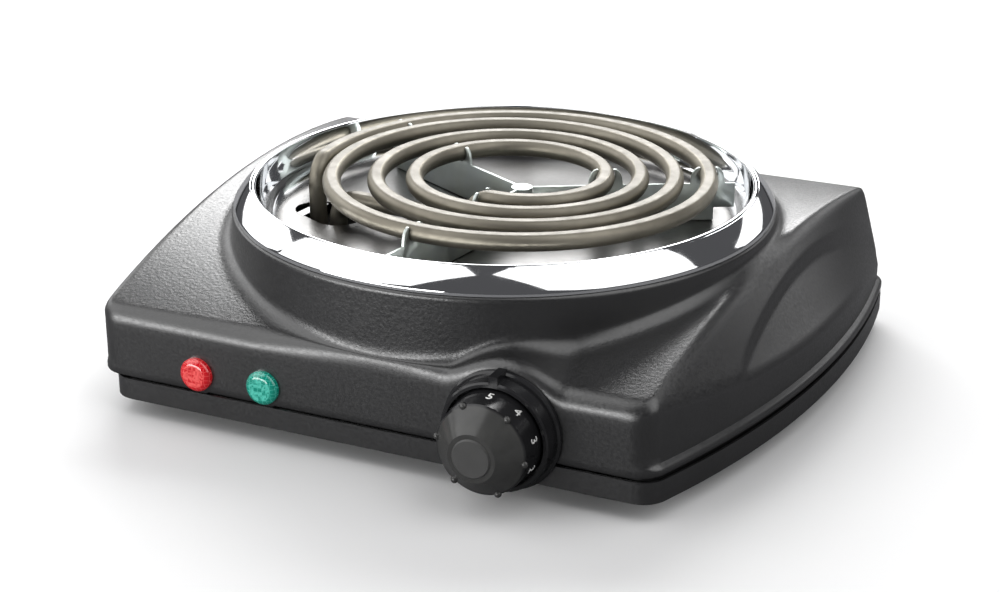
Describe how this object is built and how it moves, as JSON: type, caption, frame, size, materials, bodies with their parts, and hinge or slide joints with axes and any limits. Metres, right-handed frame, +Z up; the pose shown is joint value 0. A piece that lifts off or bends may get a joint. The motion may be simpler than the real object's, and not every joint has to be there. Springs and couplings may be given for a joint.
{
  "type": "hot plate burner",
  "caption": "Free-standing electric hot plate: black pressed housing with bowed sides, chrome drip bowl, spiral tube coil on a spider, front dial and indicator lenses.",
  "frame": {"origin": "on the burner's vertical axis, on the plane the rubber feet stand on", "axes": "+X to the right, +Y to the back, +Z up; the dial faces -Y"},
  "size_m": [0.27, 0.2396, 0.0794],
  "materials": {
    "black_paint": "finely textured black paint",
    "black_paint_smooth": "smooth satin black paint",
    "foot_rubber": "matt moulded rubber",
    "zinc_steel": "bright zinc plate",
    "bowl_chrome": "bright chrome plate, pressed",
    "coil_sheath": "heat-toned nickel alloy tube",
    "spider_zinc": "zinc plated sheet",
    "ceramic_body": "glazed steatite, drawn as a hard matt body",
    "bezel_black": "gloss black moulding",
    "regulator_case": "brown phenolic moulding",
    "knob_black": "gloss black moulding",
    "knob_cap_grey": "dark grey satin moulding",
    "lens_red": "faceted translucent red",
    "lens_green": "faceted translucent green",
    "lamp_glass": "clear lamp glass",
    "shield_aluminium": "bright rolled sheet",
    "terminal_brass": "turned brass",
    "bush_plastic": "black moulded bush",
    "lead_sleeve": "woven glass sleeve, drawn plain"
  },
  "bodies": {
    "housing": {"top_housing": "black_paint", "base_pan": "black_paint_smooth", "rubber_feet": "foot_rubber", "fixing_tabs": "zinc_steel", "base_screws": "zinc_steel", "drip_bowl": "bowl_chrome", "hinge_stand": "zinc_steel", "hinge_pin": "zinc_steel", "dial_bezel": "bezel_black", "heat_regulator": "regulator_case", "regulator_nut": "zinc_steel", "red_lens": "lens_red", "green_lens": "lens_green", "indicator_lamps": "lamp_glass", "lens_retainers": "zinc_steel", "heat_shield": "shield_aluminium", "terminal_block": "ceramic_body", "terminal_screws": "terminal_brass", "cord_inlet_bush": "bush_plastic", "lead_inner": "lead_sleeve", "lead_outer": "lead_sleeve"},
    "coil": {"heating_coil": "coil_sheath", "spider_hub": "spider_zinc", "spider_arm_right": "spider_zinc", "spider_arm_left": "spider_zinc", "spider_arm_front": "spider_zinc", "coil_clamp_block": "ceramic_body"},
    "knob": {"dial_knob": "knob_black", "knob_cap": "knob_cap_grey", "dial_shaft": "zinc_steel"}
  },
  "joints": [
    {"name": "coil_tilt", "type": "hinge", "parent": "housing", "child": "coil", "pos_m": [-0.06607, -0.01952, 0.04], "axis": [0.1045, -0.9945, 0], "range_deg": [0, 12]},
    {"name": "knob_turn", "type": "hinge", "parent": "housing", "child": "knob", "pos_m": [0.048, -0.1055, 0.025], "axis": [0, -1, 0], "range_deg": [0, 270]}
  ]
}
